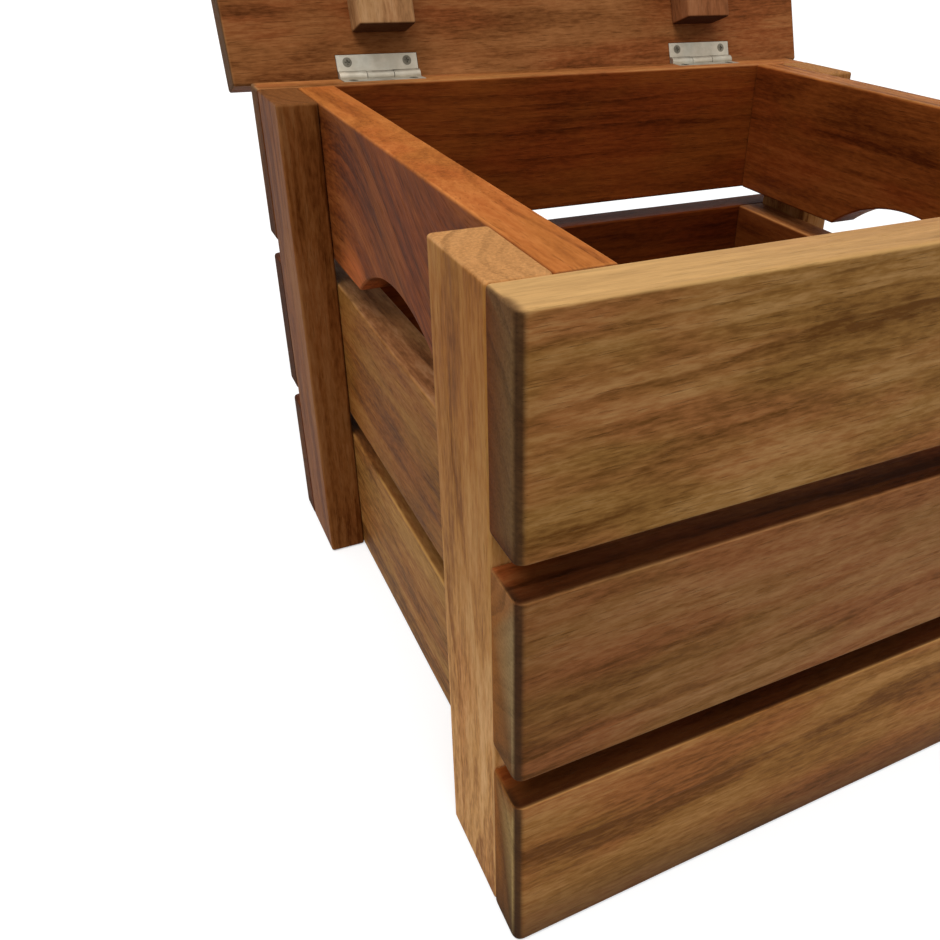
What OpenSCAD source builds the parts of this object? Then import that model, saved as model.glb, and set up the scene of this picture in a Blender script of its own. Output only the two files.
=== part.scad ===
// Slatted wooden wine box with a hinged lid, shown standing open.
// The origin is the middle of the underside. +X is to the right seen from the front,
// +Y is to the back, where the hinges are, and +Z is up. All sizes are in millimetres.

/* [Box] */
// Outside width, left end to right end
box_w = 388; // [330:1:440]
// Outside depth, front face to back face
box_d = 370; // [330:1:430]
// Height of each slat and side board
board_h = 86; // [70:1:100]
// Open gap between one board and the next above it
board_gap = 14; // [8:1:24]
// Thickness of the front and back slats
slat_t = 22; // [16:1:26]
// Thickness of the side boards
side_t = 22; // [16:1:26]
// Thickness of the corner battens
batten_t = 22; // [16:1:28]
// Width of the corner battens
batten_w = 49; // [40:1:64]
// Rounding of the long edges of every board
edge_r = 1.5; // [1.5:0.5:4]
// Rounding of the upright corners at the ends of the slats
slat_end_r = 4; // [2:0.5:8]
// Chamfer at the other ends of the boards
end_chamfer = 1.2; // [0.5:0.1:2]

/* [Hand holes] */
// Width of the arched hand hole at the lower edge of a top side board
hand_hole_w = 128; // [90:1:150]
// Rise of the arch above the board's lower edge
hand_hole_rise = 23; // [14:1:30]

/* [Floor] */
// Thickness of the floor boards
base_t = 14; // [9:1:20]
// Gap between two floor boards
base_gap = 6; // [2:1:12]
// Gap between the floor boards and the walls
base_clear = 1; // [0.5:0.5:3]
// Height of the bearers under the floor boards
bearer_h = 20; // [15:1:30]
// Width of the bearers
bearer_w = 20; // [15:1:30]

/* [Lid] */
// Thickness of the lid boards
lid_t = 22; // [16:1:26]
// Gap between two lid boards
lid_board_gap = 4; // [1:1:12]
// How far the lid reaches past the box at each side
lid_side_overhang = 9; // [4:1:24]
// How far the lid reaches past the front face
lid_front_overhang = 9; // [4:1:24]
// Gap between the closed lid and the top edges of the box
lid_clear = 1; // [0.6:0.1:1.4]
// Opening angle of the lid, from closed to its stop
lid_open = 109; // [104:1:120]
// Gap left between the rounded edges of the lid and of the back slat at the stop
stop_clear = 0.3; // [0.2:0.1:0.6]
// Width of the cleats under the lid
cleat_w = 34; // [24:1:44]
// Thickness of the cleats
cleat_t = 21; // [16:1:26]
// From the side of the box to the centre line of a cleat
cleat_inset = 81; // [74:1:110]
// Gap between a cleat's ends and the slats when the lid is closed
cleat_clear = 2.5; // [2:0.5:6]

/* [Hinges] */
// Length of a hinge along its pin
hinge_l = 50; // [40:1:60]
// From the side of the box to the middle of a hinge
hinge_inset = 77; // [72:1:110]
// From the pin's axis to the free edge of a leaf
leaf_w = 12.5; // [11:0.5:15]
// Thickness of a leaf
leaf_t = 1.6; // [1.4:0.1:2]
// Diameter of the hinge pin
hinge_pin_d = 3; // [2.4:0.1:3.6]
// Radial running clearance of the pin in the lid leaf
pin_clear = 0.05; // [0.02:0.01:0.08]
// Gap between two knuckles along the pin
knuckle_gap = 0.4; // [0.3:0.1:0.8]
// Gap round a knuckle and round a leaf let into the wood
mortise_clear = 0.3; // [0.2:0.1:0.6]

/* [Screws] */
// Diameter of a hinge screw's shank
screw_d = 3; // [2.5:0.1:3.4]
// Diameter of a hinge screw's countersunk head
screw_head_d = 5.6; // [5:0.1:6]
// Length of a hinge screw, head included
screw_l = 14; // [10:1:17]
// Distance between the two screws of a leaf
screw_pitch = 37; // [28:1:40]
// From the pin's axis to the screws
screw_setback = 8.4; // [7.6:0.1:9]
// Width of the arms of the cross recess in a head
recess_w = 0.8; // [0.5:0.1:1]
// Length of the arms of the cross recess
recess_l = 3; // [2:0.1:3.4]
// Depth of the cross recess
recess_depth = 0.8; // [0.4:0.1:1]
// Clearance of a screw's shank in its leaf
screw_clear = 0.1; // [0.05:0.05:0.3]

/* [Nails] */
// Diameter of a nail's shank
nail_d = 1.8; // [1.2:0.1:2.2]
// Diameter of a nail's head
nail_head_d = 2.8; // [2.4:0.1:3.6]
// Height of a nail's head
nail_head_h = 1; // [0.6:0.1:1.6]
// Length of the nails that hold the slats
slat_nail_l = 45; // [36:1:50]
// From a slat's edge to its nails
slat_nail_edge = 20; // [12:1:26]
// Length of the nails between side boards and battens
side_nail_l = 36; // [30:1:37]
// From a side board's edge to its nails
side_nail_edge = 29; // [29:1:33]
// Length of the nails that hold the side bearers
bearer_nail_l = 34; // [28:1:37]
// Length of the nails in the floor boards
base_nail_l = 28; // [22:1:31]
// Length of the nails in the lid boards
lid_nail_l = 36; // [30:1:37]
// From the edge of the board or cleat to the lid's nails
lid_nail_edge = 14; // [10:1:20]

/* [Hidden] */
$fn = 64;
// Reach of a cut past the surface that it starts from
cut_over = 1;
// Boards in a wall, one above the other, floor boards and lid boards
level_count = 3;
base_count = 5;
lid_count = 4;
// Knuckles of a hinge: the lid leaf carries the middle one, the box leaf the others
knuckle_count = 3;

box_h = level_count * board_h + (level_count - 1) * board_gap;
half_w = box_w / 2;
half_d = box_d / 2;
// Inner faces of the side boards and of the slats
inner_x = half_w - batten_t - side_t;
inner_y = half_d - slat_t;
// Centre planes of the battens and of the side boards
batten_mid_x = half_w - batten_t / 2;
side_mid_x = inner_x + side_t / 2;
batten_mid_y = inner_y - batten_w / 2;
hand_hole_r = (pow(hand_hole_w / 2, 2) + pow(hand_hole_rise, 2)) / (2 * hand_hole_rise);

base_l = 2 * (inner_x - base_clear);
base_w = (2 * (inner_y - base_clear) - (base_count - 1) * base_gap) / base_count;
base_pitch = base_w + base_gap;
bearer_mid_x = inner_x - bearer_w / 2;

// Hinge pin axis, above the back face, halfway between the rim and the closed lid
axis_y = half_d;
axis_z = box_h + lid_clear / 2;
knuckle_r = hinge_pin_d / 2 + leaf_t;
knuckle_l = hinge_l / knuckle_count;
hinge_x = half_w - hinge_inset;
hinge_low_x = hinge_x - hinge_l / 2;
leaf_edge = knuckle_r + mortise_clear;

// At the stop the lid's rounded rear edge meets the rounded top edge of the back slat.
// The overhang solves for the angle lid_open with stop_clear left between the two.
edge_drop = lid_clear / 2 + edge_r;
stop_lever = edge_drop * sin(lid_open) - edge_r * cos(lid_open);
stop_y = edge_drop * sin(lid_open) + edge_r;
stop_z = edge_drop * (1 + cos(lid_open));
stop_gap = 2 * edge_r + stop_clear;
lid_rear_overhang = edge_r + stop_lever
    - sqrt(pow(stop_lever, 2) + pow(stop_gap, 2) - pow(stop_y, 2) - pow(stop_z, 2));
lid_z = box_h + lid_clear;
lid_w = box_w + 2 * lid_side_overhang;
lid_front_y = -half_d - lid_front_overhang;
lid_rear_y = half_d + lid_rear_overhang;
lid_d = lid_rear_y - lid_front_y;
lid_board_w = (lid_d - (lid_count - 1) * lid_board_gap) / lid_count;
lid_pitch = lid_board_w + lid_board_gap;
cleat_x = half_w - cleat_inset;
cleat_y = inner_y - cleat_clear;

slat_colour = "#8a5f38";
slat_back_colour = "#6e4226";
side_colour = "#7b5238";
batten_colour = "#a2764a";
base_colour = "#84593a";
lid_colour = "#7a5030";
cleat_colour = "#94704e";
steel_colour = "#b9b7ae";
nail_colour = "#77706a";

function level_z(level) = level * (board_h + board_gap);
function base_low_y(i) = -inner_y + base_clear + i * base_pitch;
function lid_low_y(i) = lid_front_y + i * lid_pitch;
function knuckle_low_x(k) = hinge_low_x + k * knuckle_l + (k > 0 ? knuckle_gap / 2 : 0);
function knuckle_high_x(k) =
    hinge_low_x + (k + 1) * knuckle_l - (k < knuckle_count - 1 ? knuckle_gap / 2 : 0);

// ---- Shapes that repeat ----

// What is cut from a corner at the origin of the plane to round it
module corner_cut(r) {
    difference() {
        translate([-cut_over, -cut_over])
            square(r + cut_over);
        translate([r, r])
            circle(r);
    }
}

// Rectangle with its low corner at the origin; its corners on the low y side are
// rounded by r_low and those on the high y side by r_high
module rounded_rect(size, r_low, r_high) {
    difference() {
        square(size);
        corner_cut(r_low);
        translate([size[0], 0])
            mirror([1, 0])
                corner_cut(r_low);
        translate([0, size[1]])
            mirror([0, 1])
                corner_cut(r_high);
        translate(size)
            rotate(180)
                corner_cut(r_high);
    }
}

// Rectangle with its low corner at the origin and chamfered corners
module chamfered_rect(size, c) {
    polygon([
        [c, 0], [size[0] - c, 0], [size[0], c], [size[0], size[1] - c],
        [size[0] - c, size[1]], [c, size[1]], [0, size[1] - c], [0, c]
    ]);
}

// Board along X, low corner at the origin: long edges round, end edges chamfered
module board_x(size) {
    intersection() {
        rotate([90, 0, 90])
            linear_extrude(size[0])
                rounded_rect([size[1], size[2]], edge_r, edge_r);
        linear_extrude(size[2])
            chamfered_rect([size[0], size[1]], end_chamfer);
        translate([0, size[1], 0])
            rotate([90, 0, 0])
                linear_extrude(size[1])
                    chamfered_rect([size[0], size[2]], end_chamfer);
    }
}

// Slat along X, low corner at the origin, its face side towards -Y: as a board, but
// the upright corners at the ends of the face are rounded by slat_end_r
module slat_x(size) {
    intersection() {
        rotate([90, 0, 90])
            linear_extrude(size[0])
                rounded_rect([size[1], size[2]], edge_r, edge_r);
        linear_extrude(size[2])
            rounded_rect([size[0], size[1]], slat_end_r, end_chamfer);
        translate([0, size[1], 0])
            rotate([90, 0, 0])
                linear_extrude(size[1])
                    chamfered_rect([size[0], size[2]], end_chamfer);
    }
}

// Board along Y, low corner at the origin
module board_y(size) {
    translate([size[0], 0, 0])
        rotate(90)
            board_x([size[1], size[0], size[2]]);
}

// Board along Z, low corner at the origin
module board_z(size) {
    translate([0, 0, size[2]])
        rotate([0, 90, 0])
            board_x([size[2], size[1], size[0]]);
}

// Nail with its head at the origin, driven towards -Z
module nail(l) {
    translate([0, 0, -nail_head_h])
        cylinder(h = nail_head_h, d = nail_head_d);
    translate([0, 0, -l])
        cylinder(h = l - nail_head_h, d = nail_d);
}

// The hole that a nail fills
module nail_hole(l) {
    nail(l);
    translate([0, 0, -nail_head_h / 2])
        cylinder(h = nail_head_h / 2 + cut_over, d = nail_head_d);
}

// Draws a nail, or the hole that it fills
module nail_or_hole(l, hole) {
    if (hole)
        nail_hole(l);
    else
        nail(l);
}

// Mirrors what is drawn on the right to the left as well
module both_sides() {
    children();
    mirror([1, 0, 0])
        children();
}

// Turns what is drawn for the closed lid to the open lid
module opened() {
    translate([0, axis_y, axis_z])
        rotate([-lid_open, 0, 0])
            translate([0, -axis_y, -axis_z])
                children();
}

// ---- Nails ----

// Nails of one front slat: at each end one goes into the batten, one into the side board
module slat_end_nails(level, hole) {
    both_sides() {
        translate([batten_mid_x, -half_d, level_z(level) + board_h - slat_nail_edge])
            rotate([90, 0, 0])
                nail_or_hole(slat_nail_l, hole);
        translate([side_mid_x, -half_d, level_z(level) + slat_nail_edge])
            rotate([90, 0, 0])
                nail_or_hole(slat_nail_l, hole);
    }
}

// Nail through the bottom front slat into the end of the middle bearer
module middle_bearer_nail(hole) {
    translate([0, -half_d, bearer_h / 2])
        rotate([90, 0, 0])
            nail_or_hole(slat_nail_l, hole);
}

module front_nails(hole) {
    for (level = [0 : level_count - 1])
        slat_end_nails(level, hole);
    middle_bearer_nail(hole);
}

module back_nails(hole) {
    mirror([0, 1, 0])
        front_nails(hole);
}

// Nails from inside through one right side board into its two battens
module side_level_nails(level, hole) {
    for (end = [-1, 1], edge = [side_nail_edge, board_h - side_nail_edge])
        translate([inner_x, end * batten_mid_y, level_z(level) + edge])
            rotate([0, -90, 0])
                nail_or_hole(side_nail_l, hole);
}

module right_nails(hole) {
    for (level = [0 : level_count - 1])
        side_level_nails(level, hole);
}

// Nails from inside through the side bearers into the bottom side boards, each under
// the gap between two floor boards
module side_bearer_nails(hole) {
    both_sides()
        for (i = [1 : base_count - 1])
            translate([inner_x - bearer_w, base_low_y(i) - base_gap / 2, bearer_h / 2])
                rotate([0, -90, 0])
                    nail_or_hole(bearer_nail_l, hole);
}

// Nails down through floor board i into the three bearers
module base_board_nails(i, hole) {
    for (x = [-bearer_mid_x, 0, bearer_mid_x])
        translate([x, base_low_y(i) + base_w / 2, bearer_h + base_t])
            nail_or_hole(base_nail_l, hole);
}

module floor_nails(hole) {
    for (i = [0 : base_count - 1])
        base_board_nails(i, hole);
}

// Nails down through lid board i into both cleats, near the ends of their overlap
module lid_board_nails(i, hole) {
    low = max(lid_low_y(i), -cleat_y);
    high = min(lid_low_y(i) + lid_board_w, cleat_y);
    both_sides()
        for (y = [low + lid_nail_edge, high - lid_nail_edge])
            translate([cleat_x, y, lid_z + lid_t])
                nail_or_hole(lid_nail_l, hole);
}

module all_lid_nails(hole) {
    for (i = [0 : lid_count - 1])
        lid_board_nails(i, hole);
}

// ---- Hinges, on the right ----

// Countersunk screw with its head's top at the origin, driven towards -Z
module screw_body() {
    head_h = (screw_head_d - screw_d) / 2;
    rotate_extrude()
        polygon([
            [0, 0], [screw_head_d / 2, 0], [screw_d / 2, -head_h],
            [screw_d / 2, screw_d - screw_l], [0, -screw_l]
        ]);
}

module screw() {
    difference() {
        screw_body();
        for (turn = [0, 90])
            rotate(turn)
                translate([-recess_l / 2, -recess_w / 2, -recess_depth])
                    cube([recess_l, recess_w, recess_depth + cut_over]);
    }
}

// The countersunk hole of a leaf, open at the head's top
module leaf_hole() {
    screw_body();
    translate([0, 0, -screw_l])
        cylinder(h = screw_l, d = screw_d + 2 * screw_clear);
    cylinder(h = cut_over, d = screw_head_d);
}

// The screws' places on a leaf that lies on the plane z = 0, seen from above
module at_screws() {
    for (side = [-1, 1])
        translate([hinge_x + side * screw_pitch / 2, axis_y - screw_setback, 0])
            children();
}

// Places a screw of the box leaf, whose head is level with the rim
module at_box_screws() {
    translate([0, 0, box_h])
        at_screws()
            children();
}

// Places a screw of the lid leaf, whose head is level with the lid's underside
module at_lid_screws() {
    translate([0, 0, lid_z])
        at_screws()
            rotate([180, 0, 0])
                children();
}

// Cylinder round the pin's axis, from x to x + l
module round_axis(x, l, r) {
    translate([x, axis_y, axis_z])
        rotate([0, 90, 0])
            cylinder(h = l, r = r);
}

// Knuckle k, with the strip of leaf that carries it between z and z + leaf_t
module knuckle(k, z) {
    length = knuckle_high_x(k) - knuckle_low_x(k);
    round_axis(knuckle_low_x(k), length, knuckle_r);
    translate([knuckle_low_x(k), axis_y - leaf_w, z])
        cube([length, leaf_w, leaf_t]);
}

// Bore through all knuckles
module pin_bore(r) {
    round_axis(hinge_low_x - cut_over, hinge_l + 2 * cut_over, r);
}

// The flat part of a leaf, short of the other leaf's knuckle
module leaf_plate(z) {
    translate([hinge_low_x, axis_y - leaf_w, z])
        cube([hinge_l, leaf_w - leaf_edge, leaf_t]);
}

module box_leaf() {
    color(steel_colour)
        difference() {
            union() {
                leaf_plate(box_h - leaf_t);
                for (k = [0, knuckle_count - 1])
                    knuckle(k, box_h - leaf_t);
            }
            pin_bore(hinge_pin_d / 2);
            at_box_screws()
                leaf_hole();
        }
}

module lid_leaf() {
    color(steel_colour)
        opened()
            difference() {
                union() {
                    leaf_plate(lid_z);
                    knuckle(1, lid_z);
                }
                pin_bore(hinge_pin_d / 2 + pin_clear);
                at_lid_screws()
                    leaf_hole();
            }
}

module hinge_pin() {
    color(steel_colour)
        round_axis(hinge_low_x, hinge_l, hinge_pin_d / 2);
}

module box_screws() {
    color(steel_colour)
        both_sides()
            at_box_screws()
                screw();
}

module lid_screws() {
    color(steel_colour)
        opened()
            both_sides()
                at_lid_screws()
                    screw();
}

// Recess for a leaf between z_low and z_high, open at the back up to y_high, and the
// groove for the knuckles
module mortise(z_low, z_high, y_high) {
    x = hinge_low_x - mortise_clear;
    y = axis_y - leaf_w - mortise_clear;
    length = hinge_l + 2 * mortise_clear;
    translate([x, y, z_low])
        cube([length, y_high - y, z_high - z_low]);
    round_axis(x, length, knuckle_r + mortise_clear);
}

// ---- Sub-parts of the box ----

module front_slat(level) {
    color(slat_colour)
        difference() {
            translate([-half_w, -half_d, level_z(level)])
                slat_x([box_w, slat_t, board_h]);
            front_nails(true);
        }
}

module back_slat_body(level) {
    mirror([0, 1, 0])
        translate([-half_w, -half_d, level_z(level)])
            slat_x([box_w, slat_t, board_h]);
}

module back_slat(level) {
    color(slat_back_colour)
        difference() {
            back_slat_body(level);
            back_nails(true);
        }
}

// The top back slat also takes the hinges
module back_slat_hinged(level) {
    color(slat_back_colour)
        difference() {
            back_slat_body(level);
            back_nails(true);
            both_sides() {
                mortise(box_h - leaf_t, box_h + cut_over, half_d + cut_over);
                at_box_screws()
                    screw_body();
            }
        }
}

module right_board_body(level) {
    translate([inner_x, -inner_y, level_z(level)])
        board_y([side_t, 2 * inner_y, board_h]);
}

// Holes in a right side board for the nails of the slats, battens and bearer
module right_board_holes() {
    front_nails(true);
    back_nails(true);
    right_nails(true);
    side_bearer_nails(true);
}

module right_board(level) {
    color(side_colour)
        difference() {
            right_board_body(level);
            right_board_holes();
        }
}

// Top side board with the arched hand hole in its lower edge
module right_board_arched(level) {
    color(side_colour)
        difference() {
            right_board_body(level);
            right_board_holes();
            translate([inner_x - cut_over, 0, level_z(level) + hand_hole_rise - hand_hole_r])
                rotate([0, 90, 0])
                    cylinder(h = side_t + 2 * cut_over, r = hand_hole_r, $fn = 128);
        }
}

module right_front_batten_body() {
    translate([half_w - batten_t, -inner_y, 0])
        board_z([batten_t, batten_w, box_h]);
}

// Batten at the right front corner, with the nails' holes
module corner_batten() {
    color(batten_colour)
        difference() {
            right_front_batten_body();
            front_nails(true);
            right_nails(true);
        }
}

module side_bearer() {
    color(base_colour)
        difference() {
            translate([inner_x - bearer_w, -inner_y, 0])
                board_y([bearer_w, 2 * inner_y, bearer_h]);
            side_bearer_nails(true);
            floor_nails(true);
        }
}

module middle_bearer() {
    color(base_colour)
        difference() {
            translate([-bearer_w / 2, -inner_y, 0])
                board_y([bearer_w, 2 * inner_y, bearer_h]);
            front_nails(true);
            back_nails(true);
            floor_nails(true);
        }
}

module base_board(i) {
    color(base_colour)
        difference() {
            translate([-base_l / 2, base_low_y(i), bearer_h])
                board_x([base_l, base_w, base_t]);
            base_board_nails(i, true);
        }
}

// ---- Sub-parts of the lid ----

module lid_board_body(i) {
    translate([-lid_w / 2, lid_low_y(i), lid_z])
        board_x([lid_w, lid_board_w, lid_t]);
}

module lid_board(i) {
    color(lid_colour)
        opened()
            difference() {
                lid_board_body(i);
                lid_board_nails(i, true);
            }
}

// The rear lid board also takes the hinges
module lid_board_hinged(i) {
    color(lid_colour)
        opened()
            difference() {
                lid_board_body(i);
                lid_board_nails(i, true);
                both_sides() {
                    mortise(lid_z - cut_over, lid_z + leaf_t, lid_rear_y + cut_over);
                    at_lid_screws()
                        screw_body();
                }
            }
}

module right_cleat() {
    color(cleat_colour)
        opened()
            difference() {
                translate([cleat_x - cleat_w / 2, -cleat_y, lid_z - cleat_t])
                    board_y([cleat_w, 2 * cleat_y, cleat_t]);
                all_lid_nails(true);
            }
}

// ---- Nails as sub-parts ----

module front_slat_nails() {
    color(nail_colour)
        front_nails(false);
}

module back_slat_nails() {
    color(nail_colour)
        back_nails(false);
}

module right_board_nails() {
    color(nail_colour)
        right_nails(false);
}

module bearer_nails() {
    color(nail_colour)
        side_bearer_nails(false);
}

module base_nails() {
    color(nail_colour)
        floor_nails(false);
}

module lid_nails() {
    color(nail_colour)
        opened()
            all_lid_nails(false);
}

// ---- Nodes ----

front_slat(0);  // front_slat_bottom
front_slat(1);  // front_slat_middle
front_slat(2);  // front_slat_top
back_slat(0);  // back_slat_bottom
back_slat(1);  // back_slat_middle
back_slat_hinged(2);  // back_slat_top
mirror([1, 0, 0]) right_board(0);  // left_board_bottom
mirror([1, 0, 0]) right_board(1);  // left_board_middle
mirror([1, 0, 0]) right_board_arched(2);  // left_board_top
right_board(0);  // right_board_bottom
right_board(1);  // right_board_middle
right_board_arched(2);  // right_board_top
mirror([1, 0, 0]) corner_batten();  // left_front_batten
rotate(180) corner_batten();  // left_back_batten
corner_batten();  // right_front_batten
mirror([0, 1, 0]) corner_batten();  // right_back_batten
mirror([1, 0, 0]) side_bearer();  // left_bearer
middle_bearer();
side_bearer();  // right_bearer
base_board(0);  // base_board_1
base_board(1);  // base_board_2
base_board(2);  // base_board_3
base_board(3);  // base_board_4
base_board(4);  // base_board_5
lid_board(0);  // lid_board_front
lid_board(1);  // lid_board_mid_front
lid_board(2);  // lid_board_mid_rear
lid_board_hinged(3);  // lid_board_rear
mirror([1, 0, 0]) right_cleat();  // left_lid_cleat
right_cleat();  // right_lid_cleat
mirror([1, 0, 0]) box_leaf();  // left_hinge_box_leaf
box_leaf();  // right_hinge_box_leaf
mirror([1, 0, 0]) lid_leaf();  // left_hinge_lid_leaf
lid_leaf();  // right_hinge_lid_leaf
mirror([1, 0, 0]) hinge_pin();  // left_hinge_pin
hinge_pin();  // right_hinge_pin
box_screws();  // box_hinge_screws
lid_screws();  // lid_hinge_screws
front_slat_nails();
back_slat_nails();
mirror([1, 0, 0]) right_board_nails();  // left_board_nails
right_board_nails();
bearer_nails();
base_nails();
lid_nails();
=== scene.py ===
import math
import random

import bmesh
import bpy
from mathutils import Matrix, Vector, noise


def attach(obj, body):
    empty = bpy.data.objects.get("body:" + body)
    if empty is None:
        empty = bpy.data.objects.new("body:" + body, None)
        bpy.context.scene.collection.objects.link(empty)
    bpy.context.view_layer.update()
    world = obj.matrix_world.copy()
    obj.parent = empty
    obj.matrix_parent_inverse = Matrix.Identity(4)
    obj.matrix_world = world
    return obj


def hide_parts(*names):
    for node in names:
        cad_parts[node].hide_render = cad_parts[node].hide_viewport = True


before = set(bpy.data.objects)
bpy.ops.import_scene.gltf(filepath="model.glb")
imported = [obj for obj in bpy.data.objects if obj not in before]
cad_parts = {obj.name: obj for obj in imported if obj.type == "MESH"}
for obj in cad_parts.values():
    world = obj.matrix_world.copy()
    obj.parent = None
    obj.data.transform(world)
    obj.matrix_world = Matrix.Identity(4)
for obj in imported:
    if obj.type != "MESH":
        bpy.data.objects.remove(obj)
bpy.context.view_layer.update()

MM = 0.001


def add_object(name, data):
    """A new object, linked to the scene."""
    obj = bpy.data.objects.new(name, data)
    bpy.context.scene.collection.objects.link(obj)
    return obj


def mesh_object(name, bm):
    """A new object from a bmesh, which is freed."""
    mesh = bpy.data.meshes.new(name)
    bm.to_mesh(mesh)
    bm.free()
    return add_object(name, mesh)


# ---- Camera, fitted to the box's edges in the photograph ----

cam_data = bpy.data.cameras.new("camera")
cam = add_object("camera", cam_data)
bpy.context.scene.camera = cam
cam_place = Vector((-0.284932, -0.385185, 0.375862))
cam_forward = Vector((0.40197, 0.75919, -0.5119)).normalized()
cam_up = Vector((0.21073, 0.46735, 0.85859))
cam_right = cam_forward.cross(cam_up).normalized()
cam_up = cam_right.cross(cam_forward).normalized()
cam_turn = Matrix((cam_right, cam_up, -cam_forward)).transposed().to_4x4()
cam.matrix_world = Matrix.Translation(cam_place) @ cam_turn
cam_data.sensor_width = 36
cam_data.lens = 34.51244
cam_data.shift_x = -0.0993517
cam_data.shift_y = -0.0242333
cam_data.clip_start = 0.01
cam_data.clip_end = 50
bpy.context.scene.view_settings.view_transform = "Standard"

# ---- Sizes of the part, in millimetres ----

BOX_W, BOX_D, BOARD_H, GAP = 388, 370, 86, 14
BOX_H = 3 * BOARD_H + 2 * GAP
HALF_W, HALF_D = BOX_W / 2, BOX_D / 2
SLAT_T, SIDE_T, BATTEN_T, BATTEN_W = 22, 22, 22, 49
EDGE_R, SLAT_END_R, CHAMFER = 1.5, 4, 1.2
INNER_X = HALF_W - BATTEN_T - SIDE_T
INNER_Y = HALF_D - SLAT_T
HAND_W, HAND_RISE = 128, 23
HAND_R = ((HAND_W / 2) ** 2 + HAND_RISE**2) / (2 * HAND_RISE)
BASE_COUNT, BASE_T, BASE_GAP, BASE_CLEAR, BEARER = 5, 14, 6, 1, 20
BASE_W = (2 * (INNER_Y - BASE_CLEAR) - (BASE_COUNT - 1) * BASE_GAP) / BASE_COUNT
LID_COUNT, LID_T, LID_GAP, LID_SIDE, LID_FRONT = 4, 22, 4, 9, 9
LID_CLEAR, LID_OPEN, STOP_CLEAR = 1, 109, 0.3
AXIS_Y, AXIS_Z = HALF_D, BOX_H + LID_CLEAR / 2
LID_Z = BOX_H + LID_CLEAR
HINGE_L, LEAF_W, LEAF_T, PIN_D, MORTISE = 50, 12.5, 1.6, 3, 0.3
KNUCKLE_R = PIN_D / 2 + LEAF_T
HINGE_INSET, CLEAT_INSET, CLEAT_CLEAR = 77, 81, 2.5
HINGE_X = HALF_W - HINGE_INSET
CLEAT_W, CLEAT_T, CLEAT_X, CLEAT_Y = 34, 21, HALF_W - CLEAT_INSET, INNER_Y - CLEAT_CLEAR

# The rear overhang that brings the open lid's rounded edge to the back slat's
drop = LID_CLEAR / 2 + EDGE_R
s_open, c_open = math.sin(math.radians(LID_OPEN)), math.cos(math.radians(LID_OPEN))
lever = drop * s_open - EDGE_R * c_open
LID_REAR_OVER = EDGE_R + lever - math.sqrt(
    lever**2 + (2 * EDGE_R + STOP_CLEAR) ** 2
    - (drop * s_open + EDGE_R) ** 2 - (drop * (1 + c_open)) ** 2
)
LID_LOW_Y = -HALF_D - LID_FRONT
LID_BOARD_W = (HALF_D + LID_REAR_OVER - LID_LOW_Y - (LID_COUNT - 1) * LID_GAP) / LID_COUNT

# ---- Node helpers ----


def new_material(name):
    mat = bpy.data.materials.new(name)
    mat.use_nodes = True
    nodes = mat.node_tree.nodes
    nodes.clear()
    out = nodes.new("ShaderNodeOutputMaterial")
    bsdf = nodes.new("ShaderNodeBsdfPrincipled")
    mat.node_tree.links.new(bsdf.outputs[0], out.inputs[0])
    return mat, bsdf


class Graph:
    """Short calls that add nodes to a material or a world."""

    def __init__(self, owner):
        self.nodes = owner.node_tree.nodes
        self.links = owner.node_tree.links

    def put(self, socket, value):
        if isinstance(value, bpy.types.NodeSocket):
            self.links.new(value, socket)
        else:
            socket.default_value = value

    def attribute(self, name):
        n = self.nodes.new("ShaderNodeAttribute")
        n.attribute_name = name
        return n

    def math(self, op, a, b=0.0, c=0.0, clamp=False):
        n = self.nodes.new("ShaderNodeMath")
        n.operation = op
        n.use_clamp = clamp
        for i, v in enumerate((a, b, c)):
            self.put(n.inputs[i], v)
        return n.outputs[0]

    def vector(self, op, a, b=(0, 0, 0)):
        n = self.nodes.new("ShaderNodeVectorMath")
        n.operation = op
        self.put(n.inputs[0], a)
        self.put(n.inputs[1], b)
        return n.outputs["Value"] if op == "LENGTH" else n.outputs[0]

    def split(self, v):
        n = self.nodes.new("ShaderNodeSeparateXYZ")
        self.put(n.inputs[0], v)
        return n.outputs

    def join(self, x, y, z):
        n = self.nodes.new("ShaderNodeCombineXYZ")
        for i, v in enumerate((x, y, z)):
            self.put(n.inputs[i], v)
        return n.outputs[0]

    def noise(self, v, scale=1.0, detail=2.0, rough=0.5, distortion=0.0):
        n = self.nodes.new("ShaderNodeTexNoise")
        self.put(n.inputs["Vector"], v)
        n.inputs["Scale"].default_value = scale
        n.inputs["Detail"].default_value = detail
        n.inputs["Roughness"].default_value = rough
        n.inputs["Distortion"].default_value = distortion
        return n.outputs["Fac"]

    def step(self, v, low, high, to_low=0.0, to_high=1.0, smooth=True):
        n = self.nodes.new("ShaderNodeMapRange")
        n.interpolation_type = "SMOOTHSTEP" if smooth else "LINEAR"
        for i, x in enumerate((v, low, high, to_low, to_high)):
            self.put(n.inputs[i], x)
        return n.outputs[0]

    def mix(self, fac, a, b, blend="MIX"):
        n = self.nodes.new("ShaderNodeMix")
        n.data_type = "RGBA"
        n.blend_type = blend
        self.put(n.inputs[0], fac)
        for i, v in ((6, a), (7, b)):
            self.put(n.inputs[i], v if isinstance(v, bpy.types.NodeSocket) else (*v, 1))
        return n.outputs[2]

    def bump(self, height, distance, strength=1.0, normal=None):
        n = self.nodes.new("ShaderNodeBump")
        n.inputs["Strength"].default_value = strength
        n.inputs["Distance"].default_value = distance
        self.put(n.inputs["Height"], height)
        if normal is not None:
            self.put(n.inputs["Normal"], normal)
        return n.outputs[0]


def srgb(r, g, b):
    """Linear colour of an 8-bit screen colour."""
    parts = (c / 255 for c in (r, g, b))
    return tuple(c / 12.92 if c <= 10 / 255 else ((c + 0.055) / 1.055) ** 2.4 for c in parts)


def scaled(colour, k):
    return tuple(c * k for c in colour)


# ---- Wood ----


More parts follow.
